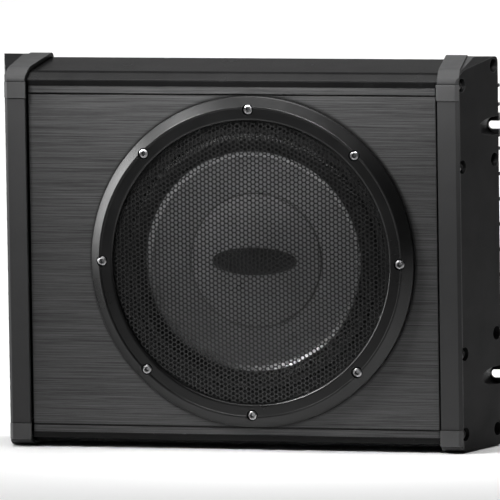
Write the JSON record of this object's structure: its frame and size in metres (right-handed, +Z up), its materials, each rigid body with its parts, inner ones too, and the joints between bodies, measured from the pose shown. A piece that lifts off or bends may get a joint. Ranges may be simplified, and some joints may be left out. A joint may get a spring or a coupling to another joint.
{
  "type": "powered car subwoofer",
  "caption": "Shallow powered car subwoofer: ribbed metal box with plastic end caps, round mesh grille on the brushed front, a sprung cone, amplifier and controls on one end.",
  "frame": {"origin": "middle of the back, on the plane that the ribs and slot pads touch", "axes": "+Y out of the back, so the grille faces -Y; +X to the right as seen from the front; +Z up"},
  "size_m": [0.366, 0.0684, 0.2797],
  "materials": {
    "enclosure_paint": "satin black coat",
    "brushed_panel": "dark anodised, brushed sideways",
    "cap_plastic": "fine moulded texture",
    "trim_plastic": "satin",
    "gasket_rubber": "matte",
    "ring_metal": "satin dark coat",
    "mesh_steel": "black powder coat",
    "screw_steel": "plated",
    "basket_steel": "black coat",
    "surround_rubber": "matte",
    "cone_plastic": "filled polypropylene",
    "badge_plastic": "satin, blank",
    "former_film": "film",
    "coil_copper": "enamelled copper wire",
    "spider_cloth": "resin-stiffened cloth",
    "plated_steel": "zinc plated",
    "ferrite": "ground ferrite",
    "brown_board": "phenolic",
    "circuit_board": "solder mask",
    "brass_post": "bright",
    "heat_aluminium": "extruded",
    "black_plastic": "moulded",
    "capacitor_sleeve": "shrunk sleeve",
    "toroid_winding": "enamelled wire",
    "acoustic_foam": "open foam",
    "control_plate_paint": "black coat",
    "led_lens": "clear tint",
    "fuse_plastic": "clear tint",
    "white_plastic": "moulded",
    "jack_plating": "bright plating",
    "pot_metal": "plated"
  },
  "bodies": {
    "housing": {"enclosure": "enclosure_paint", "front_panel": "brushed_panel", "end_cap_left": "cap_plastic", "end_cap_right": "cap_plastic", "corner_trim_top_left": "trim_plastic", "corner_trim_top_right": "trim_plastic", "corner_trim_bottom_left": "trim_plastic", "corner_trim_bottom_right": "trim_plastic", "end_gasket_left": "gasket_rubber", "end_gasket_right": "gasket_rubber", "side_screws_left": "screw_steel", "side_screws_right": "screw_steel", "grille_ring": "ring_metal", "grille_mesh": "mesh_steel", "grille_screws": "screw_steel", "woofer_basket": "basket_steel", "woofer_gasket": "gasket_rubber", "woofer_screws": "screw_steel", "surround": "surround_rubber", "spider": "spider_cloth", "top_plate": "plated_steel", "magnet": "ferrite", "back_plate": "plated_steel", "woofer_terminals": "brown_board", "tinsel_leads": "coil_copper", "amp_board": "circuit_board", "board_standoffs": "brass_post", "board_screws": "screw_steel", "heat_bar": "heat_aluminium", "power_transistors": "black_plastic", "capacitor_upper": "capacitor_sleeve", "capacitor_lower": "capacitor_sleeve", "power_toroid": "toroid_winding", "damping_foam": "acoustic_foam", "control_plate": "control_plate_paint", "control_plate_screws": "screw_steel", "power_led": "led_lens", "fuse_holder": "black_plastic", "power_terminal_block": "black_plastic", "terminal_screws": "screw_steel", "speaker_input_socket": "white_plastic", "rca_jack_front": "jack_plating", "rca_jack_rear": "jack_plating", "remote_socket": "black_plastic", "phase_switch_body": "plated_steel", "gain_pot": "pot_metal", "crossover_pot": "pot_metal", "boost_pot": "pot_metal"},
    "cone_assembly": {"cone": "cone_plastic", "dust_cap": "cone_plastic", "dust_cap_badge": "badge_plastic", "coil_former": "former_film", "voice_coil": "coil_copper"},
    "gain_control": {"gain_knob": "black_plastic"},
    "crossover_control": {"crossover_knob": "black_plastic"},
    "boost_control": {"boost_knob": "black_plastic"},
    "phase_control": {"phase_switch_lever": "white_plastic"},
    "fuse_link": {"fuse": "fuse_plastic"}
  },
  "joints": [
    {"name": "cone_travel", "type": "slide", "parent": "housing", "child": "cone_assembly", "axis": [0, -1, 0], "range_m": [-0.006, 0.006], "stiffness_N_per_m": 3000, "deforming": ["surround", "spider", "tinsel_leads"]},
    {"name": "gain_turn", "type": "hinge", "parent": "housing", "child": "gain_control", "pos_m": [-0.165, -0.031, -0.048], "axis": [-1, 0, 0], "range_deg": [-135, 135]},
    {"name": "crossover_turn", "type": "hinge", "parent": "housing", "child": "crossover_control", "pos_m": [-0.165, -0.031, -0.0585], "axis": [-1, 0, 0], "range_deg": [-135, 135]},
    {"name": "boost_turn", "type": "hinge", "parent": "housing", "child": "boost_control", "pos_m": [-0.165, -0.031, -0.069], "axis": [-1, 0, 0], "range_deg": [-135, 135]},
    {"name": "phase_slide", "type": "slide", "parent": "housing", "child": "phase_control", "axis": [0, 0, -1], "range_m": [0, 0.004]},
    {"name": "fuse_pull", "type": "slide", "parent": "housing", "child": "fuse_link", "axis": [-1, 0, 0], "range_m": [0, 0.012]}
  ]
}
